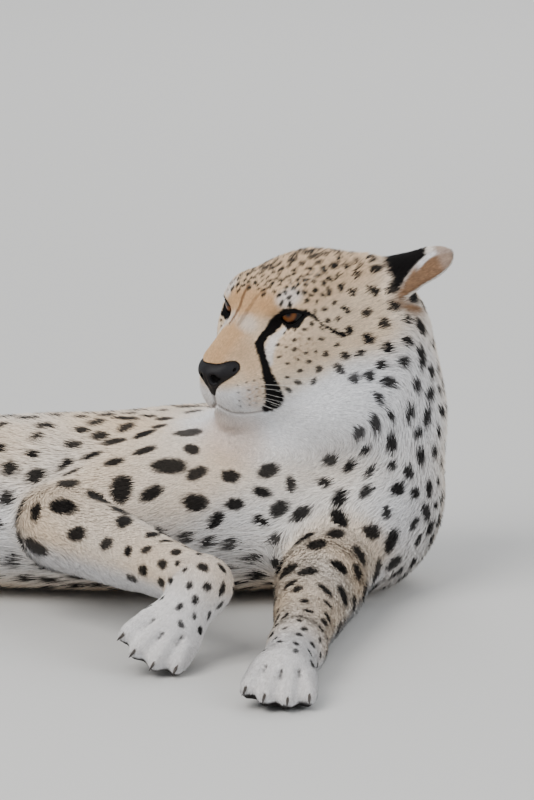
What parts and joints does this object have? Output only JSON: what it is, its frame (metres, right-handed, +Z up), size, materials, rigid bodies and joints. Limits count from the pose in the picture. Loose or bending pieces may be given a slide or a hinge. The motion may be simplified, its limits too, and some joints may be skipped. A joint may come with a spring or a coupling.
{
  "type": "lying cheetah model",
  "caption": "Life-size still model of an adult cheetah lying on its side with its head raised and turned back, on small flats at floor level.",
  "frame": {"origin": "on the floor, in the middle of the flat under the rib cage", "axes": "+X from the rump towards the chest, +Y towards the spine (the animal's back), +Z up"},
  "size_m": [1.5936, 0.7063, 0.3361],
  "materials": {
    "coat": "short dense fur, matte",
    "eye": "wet gloss",
    "nose_leather": "fine pebbled, satin",
    "claw_horn": "satin horn"
  },
  "bodies": {
    "root": {"ear_left": "coat", "ear_right": "coat", "head": "coat", "neck": "coat", "forepaw_right": "coat", "forearm_right": "coat", "upper_arm_right": "coat", "forepaw_left": "coat", "forearm_left": "coat", "upper_arm_left": "coat", "hindpaw_right": "coat", "shank_right": "coat", "thigh_right": "coat", "hindpaw_left": "coat", "shank_left": "coat", "thigh_left": "coat", "tail_3": "coat", "tail_2": "coat", "tail_1": "coat", "trunk": "coat", "eye_left": "eye", "eye_right": "eye", "nose": "nose_leather", "claw_fore_right_1": "claw_horn", "claw_fore_right_2": "claw_horn", "claw_fore_right_3": "claw_horn", "claw_fore_right_4": "claw_horn", "claw_fore_left_1": "claw_horn", "claw_fore_left_2": "claw_horn", "claw_fore_left_3": "claw_horn", "claw_fore_left_4": "claw_horn", "claw_hind_right_1": "claw_horn", "claw_hind_right_2": "claw_horn", "claw_hind_right_3": "claw_horn", "claw_hind_right_4": "claw_horn", "claw_hind_left_1": "claw_horn", "claw_hind_left_2": "claw_horn", "claw_hind_left_3": "claw_horn", "claw_hind_left_4": "claw_horn"}
  },
  "joints": []
}
